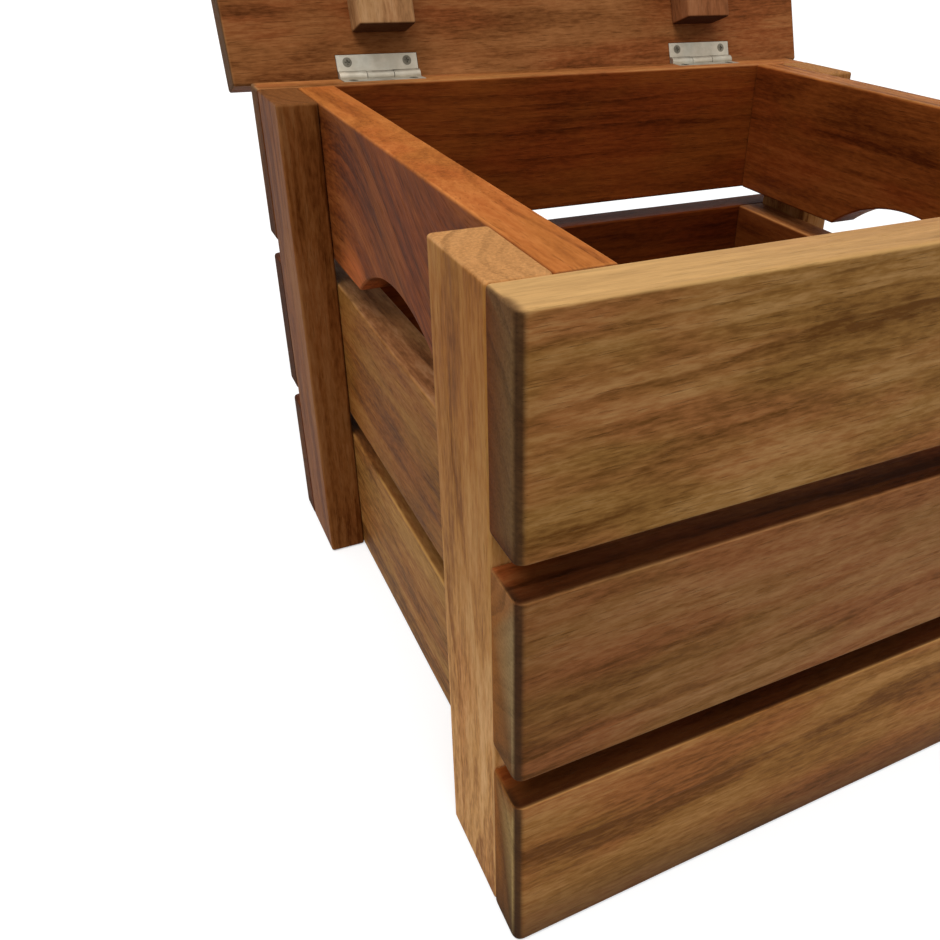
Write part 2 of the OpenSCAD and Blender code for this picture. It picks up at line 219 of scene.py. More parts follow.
def wood(name, dark, mid, light, red, end, edge, ring, fleck, streak):
    """Oiled hardwood. Point attributes carry what differs from board to board: grain is the
    place in the plank it was cut from, tone the board's own colour with painted shade on its
    inner faces and in the gaps, marks its end grain, pale arrises (wear and painted highlight)
    and pale patches (sapwood with a painted highlight), and look its dark band of oil and
    painted shade, warm patches and strength of figure.
    ring is the width of a growth ring in millimetres, fleck and streak the strength of the
    short and the long figure."""
    mat, bsdf = new_material(name)
    g = Graph(mat)
    grain = g.attribute("grain").outputs["Vector"]
    tone_and_shade = g.attribute("tone_and_shade").outputs["Color"]
    end_m, edge_m, pale_and_highlight_m = g.split(g.attribute("marks").outputs["Vector"])
    oil_and_shade_m, warm_m, figure_m = g.split(g.attribute("look").outputs["Vector"])

    def drawn(along, across, detail, rough, distortion=0.0):
        """Noise drawn out along the grain, with its fineness along and across."""
        place = g.vector("MULTIPLY", grain, (along, across, across))
        return g.noise(place, 1, detail, rough, distortion)

    def vary(f, fac, low, high, amount):
        """f raised where fac is high and lowered where it is low."""
        return g.math("MULTIPLY_ADD", g.math("SUBTRACT", g.step(fac, low, high), 0.5), amount, f)

    def toned(colour):
        return g.mix(1.0, colour, tone_and_shade, "MULTIPLY")

    # growth rings round the plank's pith, wandering along the grain
    dist = g.vector("LENGTH", g.vector("MULTIPLY", grain, (0, 1, 1)))
    dist = g.math("MULTIPLY_ADD", drawn(2.6, 9, 3, 0.5), 0.040, dist)
    dist = g.math("MULTIPLY_ADD", drawn(14, 60, 3, 0.55), 0.0055, dist)
    rings = g.math("MULTIPLY", dist, 1000 / ring)
    year = g.math("FRACT", rings)
    late = g.math("MULTIPLY", g.step(year, 0.2, 0.84), g.step(year, 0.88, 1.0, 1, 0))
    strength = g.noise(g.join(g.math("FLOOR", rings), 0.5, 0.5), 3.7, 1, 0.5)
    late = g.math("MULTIPLY", late, g.step(strength, 0.3, 0.7, 0.15, 1))

    # long streaks, short flecks, fibres and pores
    streaks = drawn(4.2, 66, 4, 0.55, 0.15)
    blotch = drawn(26, 215, 4, 0.6, 0.15)
    fibre = drawn(34, 560, 4, 0.65)
    grit = drawn(150, 620, 3, 0.6)
    pore = g.step(drawn(80, 1500, 2, 0.5), 0.60, 0.72)
    cloud = drawn(9, 24, 4, 0.55)
    hue_place = g.vector("ADD", g.vector("MULTIPLY", grain, (9, 30, 30)), (7.3, 2.1, 4.7))
    hue = g.noise(hue_place, 1, 3, 0.55)

    # from the dark through the middle to the light colour of this wood
    f = vary(0.0, streaks, 0.28, 0.72, streak * 0.62)
    f = vary(f, blotch, 0.3, 0.7, fleck * 0.55)
    f = g.math("MULTIPLY_ADD", late, -0.28, f)
    f = vary(f, cloud, 0.3, 0.7, 0.34)
    f = vary(f, fibre, 0.3, 0.7, 0.15)
    f = vary(f, grit, 0.3, 0.7, 0.26)
    f = g.math("MULTIPLY_ADD", f, figure_m, f)
    f = g.math("ADD", f, 0.52, clamp=True)
    body = g.mix(g.step(hue, 0.40, 0.62), mid, red)
    col = g.mix(g.step(f, 0.08, 0.46, smooth=False), dark, body)
    col = g.mix(g.step(f, 0.46, 1.0, smooth=False), col, light)
    col = toned(col)
    shadow = g.step(blotch, 0.42, 0.27, 0, 0.34 * fleck)
    col = g.mix(shadow, col, toned(scaled(dark, 0.55)))
    col = g.mix(g.math("MULTIPLY", pore, 0.30), col, scaled(dark, 0.45))

    # pale and warm patches, pale arrises of wear and painted highlight, end grain, and the dark
    # band of oil and painted shade
    grainy = g.step(fibre, 0.3, 0.7)
    # Pale sapwood, with a painted highlight at the front slat's left end
    pale = g.math("MULTIPLY", pale_and_highlight_m, g.step(streaks, 0.2, 0.6, 0.78, 1))
    col = g.mix(pale, col, g.mix(grainy, scaled(edge, 0.78), edge))
    warm = g.math("MULTIPLY", warm_m, g.step(blotch, 0.25, 0.65, 0.4, 1))
    col = g.mix(warm, col, g.mix(grainy, srgb(168, 84, 40), srgb(206, 112, 56)))
    # Pale arrises: partly wear, partly a painted highlight along the rounded edges
    wear_and_highlight = g.math("MULTIPLY", g.step(edge_m, 0.2, 0.75), g.step(cloud, 0.38, 0.62, 0.05, 0.5))
    col = g.mix(wear_and_highlight, col, toned(edge))
    speck = drawn(300, 900, 3, 0.6)
    end_f = g.math("MULTIPLY_ADD", late, -0.5, g.step(speck, 0.25, 0.75, 0.35, 1))
    end_col = toned(g.mix(end_f, scaled(end, 0.5), end))
    col = g.mix(g.math("MULTIPLY", g.step(end_m, 0.15, 0.95), 0.9), col, end_col)
    # Dark band on the rounded slat ends: painted shade of the rounding, with dark oil
    oil_and_shade = g.math("MULTIPLY", oil_and_shade_m, g.step(cloud, 0.3, 0.6, 0.82, 1))
    col = g.mix(oil_and_shade, col, g.mix(grainy, srgb(44, 25, 14), srgb(62, 38, 23)))
    g.put(bsdf.inputs["Base Color"], col)

    rough = g.math("MULTIPLY_ADD", fibre, 0.22, 0.54)
    rough = g.math("MULTIPLY_ADD", pore, 0.15, rough)
    rough = g.math("MULTIPLY_ADD", end_m, 0.18, rough, clamp=True)
    g.put(bsdf.inputs["Roughness"], rough)
    bsdf.inputs["IOR"].default_value = 1.45
    bsdf.inputs["Specular IOR Level"].default_value = 0.15
    bsdf.inputs["Specular Tint"].default_value = (0.62, 0.48, 0.36, 1)

    h = g.math("MULTIPLY_ADD", late, 0.5, g.math("MULTIPLY", fibre, 0.9))
    h = g.math("MULTIPLY_ADD", pore, -0.8, h)
    coarse = g.bump(blotch, 0.0005, 0.35)
    g.put(bsdf.inputs["Normal"], g.bump(h, 0.00020, 0.8, coarse))
    return mat


WOOD = {
    "front_slats": wood(
        "wood_front", srgb(104, 62, 22), srgb(152, 105, 54), srgb(196, 146, 94),
        srgb(162, 102, 58), srgb(120, 88, 58), srgb(214, 168, 108), 7.5, 0.30, 0.36),
    # Darker and redder than the front slats, partly as painted shade of the box's inside
    "back_slats": wood(
        "wood_back", srgb(92, 44, 12), srgb(142, 84, 40), srgb(180, 112, 56),
        srgb(146, 78, 38), srgb(108, 74, 48), srgb(180, 122, 74), 8.0, 0.32, 0.5),
    "side_boards": wood(
        "wood_side", srgb(92, 50, 20), srgb(148, 98, 52), srgb(188, 134, 84),
        srgb(148, 90, 48), srgb(118, 82, 54), srgb(206, 150, 92), 9.0, 0.38, 0.55),
    "battens": wood(
        "wood_batten", srgb(134, 80, 28), srgb(190, 134, 74), srgb(220, 170, 114),
        srgb(188, 126, 68), srgb(198, 142, 86), srgb(214, 166, 112), 5.0, 0.3, 0.7),
    "floor_boards": wood(
        "wood_floor", srgb(82, 46, 22), srgb(144, 92, 50), srgb(182, 128, 76),
        srgb(146, 84, 44), srgb(122, 88, 60), srgb(190, 142, 96), 6.0, 0.5, 0.5),
    "lid_boards": wood(
        "wood_lid", srgb(90, 47, 17), srgb(136, 84, 44), srgb(172, 114, 67),
        srgb(138, 76, 38), srgb(94, 68, 46), srgb(176, 124, 74), 8.0, 0.4, 0.55),
    # Very dark end colour: end grain deepened by painted shade on the cleats' down-facing ends
    "lid_cleats": wood(
        "wood_cleat", srgb(126, 88, 54), srgb(172, 128, 84), srgb(198, 154, 110),
        srgb(168, 120, 78), srgb(70, 36, 18), srgb(184, 138, 94), 5.0, 0.3, 0.6),
}

# ---- Boards ----

AXES = {"x": Vector((1, 0, 0)), "y": Vector((0, 1, 0)), "z": Vector((0, 0, 1))}
PLAIN = (1, 1, 1)
# Where the rings of points lie near a board's end, the spacing of those between, and the depth
# of the dents along its arrises
END_STATIONS = [0, 0.08, 0.3, 0.65, 1.2, 2.0, 3.0, 4.0, 5.0, 8.0]
STATION_STEP, ARCH_STEPS, ARC_STEPS, DENT = 11, 40, 4, 0.18
SHARP_ANGLE = math.radians(38)


def opened(p):
    """A point of the closed lid, in millimetres, turned to the open lid."""
    y, z = p.y - AXIS_Y, p.z - AXIS_Z
    return Vector((p.x, AXIS_Y + y * c_open + z * s_open, AXIS_Z - y * s_open + z * c_open))


def open_lid(mesh):
    for v in mesh.vertices:
        v.co = opened(v.co / MM) * MM


def ease(x, low, high):
    """0 below low, 1 above high, smooth between."""
    t = max(0.0, min(1.0, (x - low) / (high - low)))
    return t * t * (3 - 2 * t)


def blend(a, b, t):
    return tuple(p + (q - p) * t for p, q in zip(a, b))


def curve_in(s, r):
    """How far a rounding of radius r lies inside its corner, s from the end."""
    return 0.0 if s >= r else r - math.sqrt(max(0.0, r * r - (r - s) ** 2))


def arch_rise(d):
    """Height of the hand hole's arch, d from its middle."""
    return HAND_RISE - (HAND_R - math.sqrt(HAND_R**2 - d**2))


def section(v0, v1, w0, w1, r, nv, nw):
    """Rounded rectangle, with its sides divided nv and nw times."""
    corners = [
        (v0 + r, w0 + r, 180), (v1 - r, w0 + r, 270), (v1 - r, w1 - r, 0), (v0 + r, w1 - r, 90)
    ]
    arcs = []
    for cv, cw, start in corners:
        turns = [math.radians(start + 90 / ARC_STEPS * k) for k in range(ARC_STEPS + 1)]
        arcs.append([(cv + r * math.cos(a), cw + r * math.sin(a)) for a in turns])
    pts = []
    for i, arc in enumerate(arcs):
        pts += arc
        (sv, sw), (ev, ew) = arc[-1], arcs[(i + 1) % 4][0]
        n = nv if i % 2 == 0 else nw
        pts += [(sv + (ev - sv) * k / n, sw + (ew - sw) * k / n) for k in range(1, n)]
    return pts


def stations(length, arch):
    """Where the rings of points lie along a board, closer together over a hand hole."""
    first = END_STATIONS[-1]
    n = max(4, round((length - 2 * first) / STATION_STEP))
    inner = [first + (length - 2 * first) * k / n for k in range(1, n)]
    if arch:
        # the arch takes its own, from one end of the hand hole to the other and just past them
        mid, half = length / 2, HAND_W / 2
        inner = [x for x in inner if abs(x - mid) > half + 5]
        inner += [mid - half + 2 * half * k / ARCH_STEPS for k in range(ARCH_STEPS + 1)]
        inner += [mid - half - 1.5, mid + half + 1.5]
    return sorted(END_STATIONS + inner + [length - e for e in END_STATIONS])


def shades(p, width, thick, sides):
    """Colour at a point from the colours of the two faces and the two edges of a board."""
    depths = (p.z, thick - p.z, width - p.y, p.y)
    weights = [1 / (0.2 + max(0.0, d)) ** 3 for d in depths]
    return [sum(w * s[i] for w, s in zip(weights, sides)) / sum(weights) for i in range(3)]


def board(name, body, slot, origin, axes, size, seed, face, back, top, bottom, pith,
          front_r=CHAMFER, arch=False, pale=None, look=None, wash=None, bend=None, cuts=()):
    """One board. axes are the directions of its length, width and thickness, origin its low
    corner. front_r rounds the ends of the low thickness side, arch cuts the hand hole into the
    low width side, and cuts are meshes let into it. face, back, top and bottom tint its four
    long sides, wash(u, v, w) tints it from place to place, pale(u, v, w) and look(u, v, w)
    mark patches, and bend is where the grain turns across it and how far."""
    rnd = random.Random(seed)
    length, width, thick = size
    n_v, n_w = max(2, round(width / 9)), max(2, round(thick / 7))
    verts, faces, rings = [], [], []
    shift = Vector((rnd.uniform(-50, 50), rnd.uniform(-50, 50), rnd.uniform(-50, 50)))
    for s in stations(length, arch):
        e = min(s, length - s)
        c = curve_in(e, CHAMFER)
        w0 = curve_in(e, front_r)
        in_arch = arch and abs(s - length / 2) <= HAND_W / 2
        v0 = arch_rise(s - length / 2) if in_arch else c
        ring = section(v0, width - c, w0, thick - c, EDGE_R, n_v, n_w)
        rings.append(range(len(verts), len(verts) + len(ring)))
        for v, w in ring:
            p = Vector((s, v, w))
            near_v = 1 if v - v0 < EDGE_R else (-1 if width - c - v < EDGE_R else 0)
            near_w = 1 if w < EDGE_R + w0 else (-1 if thick - c - w < EDGE_R else 0)
            a = noise.noise(Vector((s / 90, v / 45, w / 45)) + shift)
            b = noise.noise(Vector((s / 38, v / 30, w / 30)) + shift * 2)
            depth = max(0.02, DENT * (0.55 + 0.6 * a + 0.35 * b))
            p.y += near_v * depth
            p.z += near_w * depth
            verts.append(p)
    count = len(rings[0])
    for a, b in zip(rings, rings[1:]):
        for k in range(count):
            m = (k + 1) % count
            faces.append((a[k], a[m], b[m], b[k]))
    faces.append(tuple(reversed(rings[0])))
    faces.append(tuple(rings[-1]))
    mesh = bpy.data.meshes.new(name)
    mesh.from_pydata([v * MM for v in verts], [], faces)
    obj = add_object(name, mesh)
    u_ax, v_ax, w_ax = (AXES[a[-1]] * (-1 if a[0] == "-" else 1) for a in axes)
    if u_ax.cross(v_ax).dot(w_ax) > 0:
        mesh.flip_normals()
    low = Vector(origin)
    for v in mesh.vertices:
        p = v.co / MM
        v.co = (low + u_ax * p.x + v_ax * p.y + w_ax * p.z) * MM
    if cuts:
        for cutter in cuts:
            mod = obj.modifiers.new("cut", "BOOLEAN")
            mod.operation = "DIFFERENCE"
            mod.solver = "EXACT"
            mod.object = cutter
        bpy.context.view_layer.update()
        dg = bpy.context.evaluated_depsgraph_get()
        mesh = bpy.data.meshes.new_from_object(obj.evaluated_get(dg))
        obj.modifiers.clear()
        obj.data = mesh

    # what the material reads
    grain, marks, tones, looks = [], [], [], []
    start = rnd.uniform(0, 9)
    tilt = rnd.uniform(-0.03, 0.03)
    for vert in mesh.vertices:
        d = vert.co / MM - low
        p = Vector((d.dot(u_ax), d.dot(v_ax), d.dot(w_ax)))
        e = min(p.x, length - p.x)
        in_arch = arch and abs(p.x - length / 2) <= HAND_W / 2
        low_v = arch_rise(p.x - length / 2) if in_arch else 0.0
        dv = min(abs(p.y - low_v), abs(width - p.y))
        dw = min(abs(p.z), abs(thick - p.z))
        second = sorted((dv, dw, max(0.0, e)))[1]
        edge = max(0.0, 1 - second / (EDGE_R * 1.4))
        end = max(0.0, 1 - e / (front_r if p.z < thick / 2 else CHAMFER) * 0.9)
        lean = tilt * (p.x - length / 2)
        if bend:
            lean += bend[2] * ease(p.x, bend[0], bend[1])
        grain += [
            p.x * MM + start,
            (p.y - width / 2 + pith[0] + lean) * MM,
            (p.z - thick / 2 + pith[1]) * MM,
        ]
        marks += [end, edge, pale(p.x, p.y, p.z) if pale else 0.0]
        looks += look(p.x, p.y, p.z) if look else (0, 0, 0)
        tint = wash(p.x, p.y, p.z) if wash else PLAIN
        shade = shades(p, width, thick, (face, back, top, bottom))
        tones += [a * b for a, b in zip(shade, tint)] + [1]
    for kind, values in (("grain", grain), ("marks", marks), ("look", looks)):
        data = mesh.attributes.new(kind, "FLOAT_VECTOR", "POINT").data
        data.foreach_set("vector", values)
    mesh.attributes.new("tone_and_shade", "FLOAT_COLOR", "POINT").data.foreach_set("color", tones)
    if body == "lid":
        open_lid(mesh)
    mesh.materials.clear()
    mesh.materials.append(WOOD[slot])
    mesh.shade_smooth()
    mesh.set_sharp_from_angle(angle=SHARP_ANGLE)
    weighted = obj.modifiers.new("weighted", "WEIGHTED_NORMAL")
    weighted.keep_sharp = True
    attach(obj, body)
    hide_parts(name)


def mortise_cutters(side, z_low, z_high, y_high):
    """Recess for a leaf and the groove for its knuckles, as meshes to cut with."""
    x0 = side * HINGE_X - HINGE_L / 2 - MORTISE
    x1 = side * HINGE_X + HINGE_L / 2 + MORTISE
    y0 = AXIS_Y - LEAF_W - MORTISE
    bm = bmesh.new()
    for v in bmesh.ops.create_cube(bm, size=1)["verts"]:
        v.co = Vector((
            x0 if v.co.x < 0 else x1,
            y0 if v.co.y < 0 else y_high,
            z_low if v.co.z < 0 else z_high,
        )) * MM
    recess = mesh_object("cutter", bm)
    bm = bmesh.new()
    radius = (KNUCKLE_R + MORTISE) * MM
    middle = Vector(((x0 + x1) / 2, AXIS_Y, AXIS_Z)) * MM
    bmesh.ops.create_cone(
        bm, cap_ends=True, segments=48, radius1=radius, radius2=radius, depth=(x1 - x0) * MM,
        matrix=Matrix.Translation(middle) @ Matrix.Rotation(math.pi / 2, 4, "Y"),
    )
    return [recess, mesh_object("cutter", bm)]


def rod(bm, place, direction, profile):
    """Adds a turned shape: profile is radii and depths below place, along direction."""
    sides = 20
    turn = Vector(direction).to_track_quat("Z", "Y")
    rings = []
    for radius, depth in profile:
        ring = []
        for k in range(sides if radius else 1):
            a = 2 * math.pi * k / sides
            p = Vector((radius * MM * math.cos(a), radius * MM * math.sin(a), depth * MM))
            ring.append(bm.verts.new(Vector(place) * MM + turn @ p))
        rings.append(ring)
    for a, b in zip(rings, rings[1:]):
        for k in range(sides):
            m = (k + 1) % sides
            corners = [a[k % len(a)], a[m % len(a)], b[m % len(b)], b[k % len(b)]]
            bm.faces.new(list(dict.fromkeys(reversed(corners))))


def rods(name, places, profile):
    """One mesh object with a turned shape at each place and direction."""
    bm = bmesh.new()
    for place, direction in places:
        rod(bm, place, direction, profile)
    return mesh_object(name, bm)


def nail_profile(length, sunk):
    """Domed head, shank and point, with the head sunk below the wood."""
    head = [(0, 0), (0.7, 0.03), (1.15, 0.12), (1.38, 0.3), (1.4, 0.55), (1.25, 0.8), (0.9, 1.0)]
    point = [(0.9, length - 3.2), (0.45, length - 1.6), (0, length)]
    return [(r, sunk + d) for r, d in head] + point


# The hole above a sunk nail head
SINK = [(0, -1.0), (1.5, -1.0), (1.5, 1.6), (0, 1.6)]


def level(i):
    return i * (BOARD_H + GAP)


LEVELS = ("bottom", "middle", "top")
BATTEN_MID_X, SIDE_MID_X = HALF_W - BATTEN_T / 2, INNER_X + SIDE_T / 2
BATTEN_MID_Y = INNER_Y - BATTEN_W / 2
SLAT_NAIL_IN, SIDE_NAIL_IN, LID_NAIL_IN = 20, 29, 14
base_y = [-INNER_Y + BASE_CLEAR + i * (BASE_W + BASE_GAP) for i in range(BASE_COUNT)]
lid_y = [LID_LOW_Y + i * (LID_BOARD_W + LID_GAP) for i in range(LID_COUNT)]

# Each nail's place on the surface and the direction it is driven in
front_places = [((0, -HALF_D, BEARER / 2), (0, 1, 0))]
side_places = []
for i in range(len(LEVELS)):
    for sx in (-1, 1):
        front_places += [
            ((sx * BATTEN_MID_X, -HALF_D, level(i) + BOARD_H - SLAT_NAIL_IN), (0, 1, 0)),
            ((sx * SIDE_MID_X, -HALF_D, level(i) + SLAT_NAIL_IN), (0, 1, 0)),
        ]
    side_places += [
        ((INNER_X, sy * BATTEN_MID_Y, level(i) + e), (1, 0, 0))
        for sy in (-1, 1) for e in (SIDE_NAIL_IN, BOARD_H - SIDE_NAIL_IN)
    ]
bearer_places = [
    ((sx * (INNER_X - BEARER), base_y[i] - BASE_GAP / 2, BEARER / 2), (sx, 0, 0))
    for i in range(1, BASE_COUNT) for sx in (-1, 1)
]
base_places = [
    [((x, y + BASE_W / 2, BEARER + BASE_T), (0, 0, -1))
     for x in (BEARER / 2 - INNER_X, 0, INNER_X - BEARER / 2)]
    for y in base_y
]
lid_places = []
for y in lid_y:
    low, high = max(y, -CLEAT_Y), min(y + LID_BOARD_W, CLEAT_Y)
    lid_places.append([
        ((sx * CLEAT_X, v, LID_Z + LID_T), (0, 0, -1))
        for sx in (-1, 1) for v in (low + LID_NAIL_IN, high - LID_NAIL_IN)
    ])
base_cuts = [rods("cutter", p, SINK) for p in base_places]
nail_cuts = [rods("cutter", p, SINK) for p in lid_places]
slat_cuts, lid_cuts = [], []
for side in (-1, 1):
    slat_cuts += mortise_cutters(side, BOX_H - LEAF_T, BOX_H + 1, HALF_D + 1)
    lid_cuts += mortise_cutters(side, LID_Z - 1, LID_Z + LEAF_T, HALF_D + LID_REAR_OVER + 1)


def pale_top_edge_and_highlight(u, v, w):
    """Pale sapwood along the top edge of the front slat, with a painted highlight that brightens
    it towards the left end.
    """
    return ease(v, BOARD_H - 1.2, BOARD_H - 0.6) * (1 - 0.55 * ease(u, 30, 190))


def slat_end_oil_and_shade(u, v, w):
    """Dark band on the round at the slat's ends: painted shade of the rounding, with dark oil.
    """
    e = min(u, BOX_W - u)
    rim = ease(v, 0.6, 1.8) * (1 - ease(v, BOARD_H - 1.8, BOARD_H - 0.6))
    band = ease(e, 0.1, 0.5) * (1 - ease(e, 2.0, 3.6)) * (1 - ease(w, 3.0, 3.9))
    return (0.85 * rim * band, 0, 0)


def calm_inside(u, v, w):
    """A quieter figure on the face towards the inside."""
    return (0, 0, -0.25 * ease(w, 8, 16))


def back_look(u, v, w):
    return (slat_end_oil_and_shade(u, v, w)[0], 0, calm_inside(u, v, w)[2])


def hand_hole_look(u, v, w):
    """Warm patch at the rear tip of the hand hole, a stronger figure on the outer face, and a
    quieter one on top."""
    tip = INNER_Y + HAND_W / 2
    warm = max(0.0, 1 - math.hypot((u - tip - 8) / 26, (v - 6) / 16))
    outer = 1 - ease(w, 8, 16)
    top = ease(v, BOARD_H - 3, BOARD_H - 1)
    return (0, min(1.0, 1.8 * warm) * outer, 0.12 * outer * (1 - top) - 0.45 * top)


# Tints of the boards' sides, and piths that set their figure. Lists go from the bottom up.
# Painted shade on the inner faces, darker and redder, as the inside of the box lies in shade
INSIDE_SHADE = (0.78, 0.42, 0.20)
RIGHT_INSIDE_SHADES = [(0.46, 0.26, 0.14), (0.46, 0.26, 0.14), (0.78, 0.46, 0.26)]
# Painted shade on the board edges hidden in the gaps between boards and against the floor
HIDDEN_EDGE_SHADE = (0.36, 0.23, 0.16)
front_faces = [(1.03, 1.0, 0.86), (0.78, 0.76, 0.76), (1.02, 1.08, 1.02)]
# The two lower slats' tops are darkened as painted shade in the gaps above them
front_tops = [(0.55, 0.31, 0.17), (0.76, 0.48, 0.34), (0.92, 0.86, 0.8)]
front_piths = [(20, -75), (-55, -48), (48, -66)]
# Painted shade of the box's inside on the back slats' inner faces
back_inside_shades = [(0.66, 0.40, 0.25), (0.38, 0.23, 0.12), (0.72, 0.50, 0.30)]


def lower_slat_tint_and_shade(u, v, w):
    """End grain that took less oil than the face, and painted shade on the top that darkens it
    towards the front, in the gap under the slat above.
    """
    end = blend((2.4, 3.2, 3.5), PLAIN, ease(min(u, BOX_W - u), 0.1, 0.6))
    gap_shade = 0.8 * ease(v, BOARD_H - 0.9, BOARD_H - 0.35) * (1 - ease(w, 2, 22))
    return tuple(c * (1 - gap_shade) for c in end)


def bottom_slat_tint_and_shade(u, v, w):
    """The same, and painted shade that darkens the face towards the lower edge."""
    foot = 1 - 0.7 * (1 - ease(v, -4, 34))
    return tuple(c * foot for c in lower_slat_tint_and_shade(u, v, w))


for i, lv in enumerate(LEVELS):
    top_one = lv == "top"
    board(f"front_slat_{lv}", "box", "front_slats", (-HALF_W, -HALF_D, level(i)),
          ("x", "z", "y"), (BOX_W, BOARD_H, SLAT_T), 11 + i, front_faces[i], INSIDE_SHADE,
          front_tops[i], HIDDEN_EDGE_SHADE, front_piths[i], front_r=SLAT_END_R,
          pale=pale_top_edge_and_highlight if top_one else None, look=slat_end_oil_and_shade,
          wash=(bottom_slat_tint_and_shade, lower_slat_tint_and_shade, None)[i])
    board(f"back_slat_{lv}", "box", "back_slats", (-HALF_W, HALF_D, level(i)),
          ("x", "z", "-y"), (BOX_W, BOARD_H, SLAT_T), 21 + i, PLAIN, back_inside_shades[i],
          (1.25, 1.5, 1.7) if top_one else HIDDEN_EDGE_SHADE, HIDDEN_EDGE_SHADE, (115 - 15 * i, -50),
          front_r=SLAT_END_R, look=back_look, cuts=slat_cuts if top_one else ())

# The left bottom board's top is darkened as painted shade in the gap above it
side_tops = {
    "left": [(0.58, 0.57, 0.46), (0.89, 1.01, 1.26), (1.46, 1.12, 0.78)],
    "right": [(1.15, 1.05, 0.95), (1.15, 1.05, 0.95), (1.15, 1.02, 0.8)],
}
side_faces = {
    "left": [(1.08, 1.2, 0.96), (0.83, 0.81, 0.55), (0.66, 0.43, 0.28)],
    "right": [(0.92, 0.90, 0.90), (0.95, 0.9, 0.85), (0.9, 0.86, 0.82)],
}
for side, sx in (("left", -1), ("right", 1)):
    for i, lv in enumerate(LEVELS):
        figured = side == "left" and lv == "top"
        board(f"{side}_board_{lv}", "box", "side_boards",
              (sx * (INNER_X + SIDE_T), -INNER_Y, level(i)),
              ("y", "z", "x" if sx < 0 else "-x"), (2 * INNER_Y, BOARD_H, SIDE_T),
              31 + i + (5 if sx > 0 else 0), side_faces[side][i],
              RIGHT_INSIDE_SHADES[i] if sx > 0 else INSIDE_SHADE, side_tops[side][i], HIDDEN_EDGE_SHADE,
              (35 - 40 * i, -50 - 10 * i), arch=lv == "top",
              look=hand_hole_look if figured else calm_inside,
              bend=(60, 250, -90) if figured else None)

batten_faces = {
    ("left", "front"): (0.98, 0.96, 0.92), ("left", "back"): (0.42, 0.31, 0.24),
    ("right", "front"): (0.9, 0.86, 0.8), ("right", "back"): (0.8, 0.74, 0.68),
}


def darker_up(u, v, w):
    """Light at the foot, darker upwards, and the end grain on top light again."""
    shade = blend((1.32, 1.46, 1.7), (0.75, 0.68, 0.47), ease(u, 50, 245))
    return blend(shade, (1.17, 1.18, 1.24), ease(u, BOX_H - 1.5, BOX_H - 0.5))


for side, sx in (("left", -1), ("right", 1)):
    for end, sy in (("front", -1), ("back", 1)):
        tint = batten_faces[side, end]
        board(f"{side}_{end}_batten", "box", "battens",
              (sx * HALF_W, sy * INNER_Y, 0),
              ("z", "y" if sy < 0 else "-y", "x" if sx < 0 else "-x"),
              (BOX_H, BATTEN_W, BATTEN_T), 51 + sx + 3 * sy, tint, tint, tint, tint, (15, -45),
              wash=darker_up if end == "front" else None)

bearer_x = {"left": -INNER_X, "middle": -BEARER / 2, "right": INNER_X - BEARER}
for i, (n, x) in enumerate(bearer_x.items()):
    tint = (0.92, 0.9, 0.88)
    board(f"{n}_bearer", "box", "floor_boards", (x, -INNER_Y, 0), ("y", "x", "z"),
          (2 * INNER_Y, BEARER, BEARER), 61 + i, tint, tint, tint, tint, (20, -35))
for i, y in enumerate(base_y):
    tint = (1 - 0.04 * (i % 3), 1 - 0.05 * (i % 2), 1 - 0.03 * (i % 3))
    board(f"base_board_{i + 1}", "box", "floor_boards", (-INNER_X + BASE_CLEAR, y, BEARER),
          ("x", "y", "z"), (2 * (INNER_X - BASE_CLEAR), BASE_W, BASE_T), 71 + i,
          tint, (0.8, 0.62, 0.5), tint, tint, (-30 + 25 * i, -55), cuts=[base_cuts[i]])

for i, n in enumerate(("front", "mid_front", "mid_rear", "rear")):
    board(f"lid_board_{n}", "lid", "lid_boards", (-HALF_W - LID_SIDE, lid_y[i], LID_Z),
          ("x", "y", "z"), (BOX_W + 2 * LID_SIDE, LID_BOARD_W, LID_T), 81 + i,
          PLAIN, (1.12, 1.1, 1.06), (1.05, 1.02, 0.98), PLAIN, (30 - 25 * i, -60),
          cuts=(lid_cuts if n == "rear" else []) + [nail_cuts[i]])
for side, sx in (("left", -1), ("right", 1)):
    tint = (1.08, 1.08, 1.08) if sx < 0 else (0.72, 0.52, 0.46)
    board(f"{side}_lid_cleat", "lid", "lid_cleats",
          (sx * CLEAT_X - CLEAT_W / 2, -CLEAT_Y, LID_Z), ("y", "x", "-z"),
          (2 * CLEAT_Y, CLEAT_W, CLEAT_T), 91 + sx, tint, tint, tint, tint, (10, -40))

for o in slat_cuts + lid_cuts + base_cuts + nail_cuts:
    bpy.data.objects.remove(o)

# ---- Metal ----


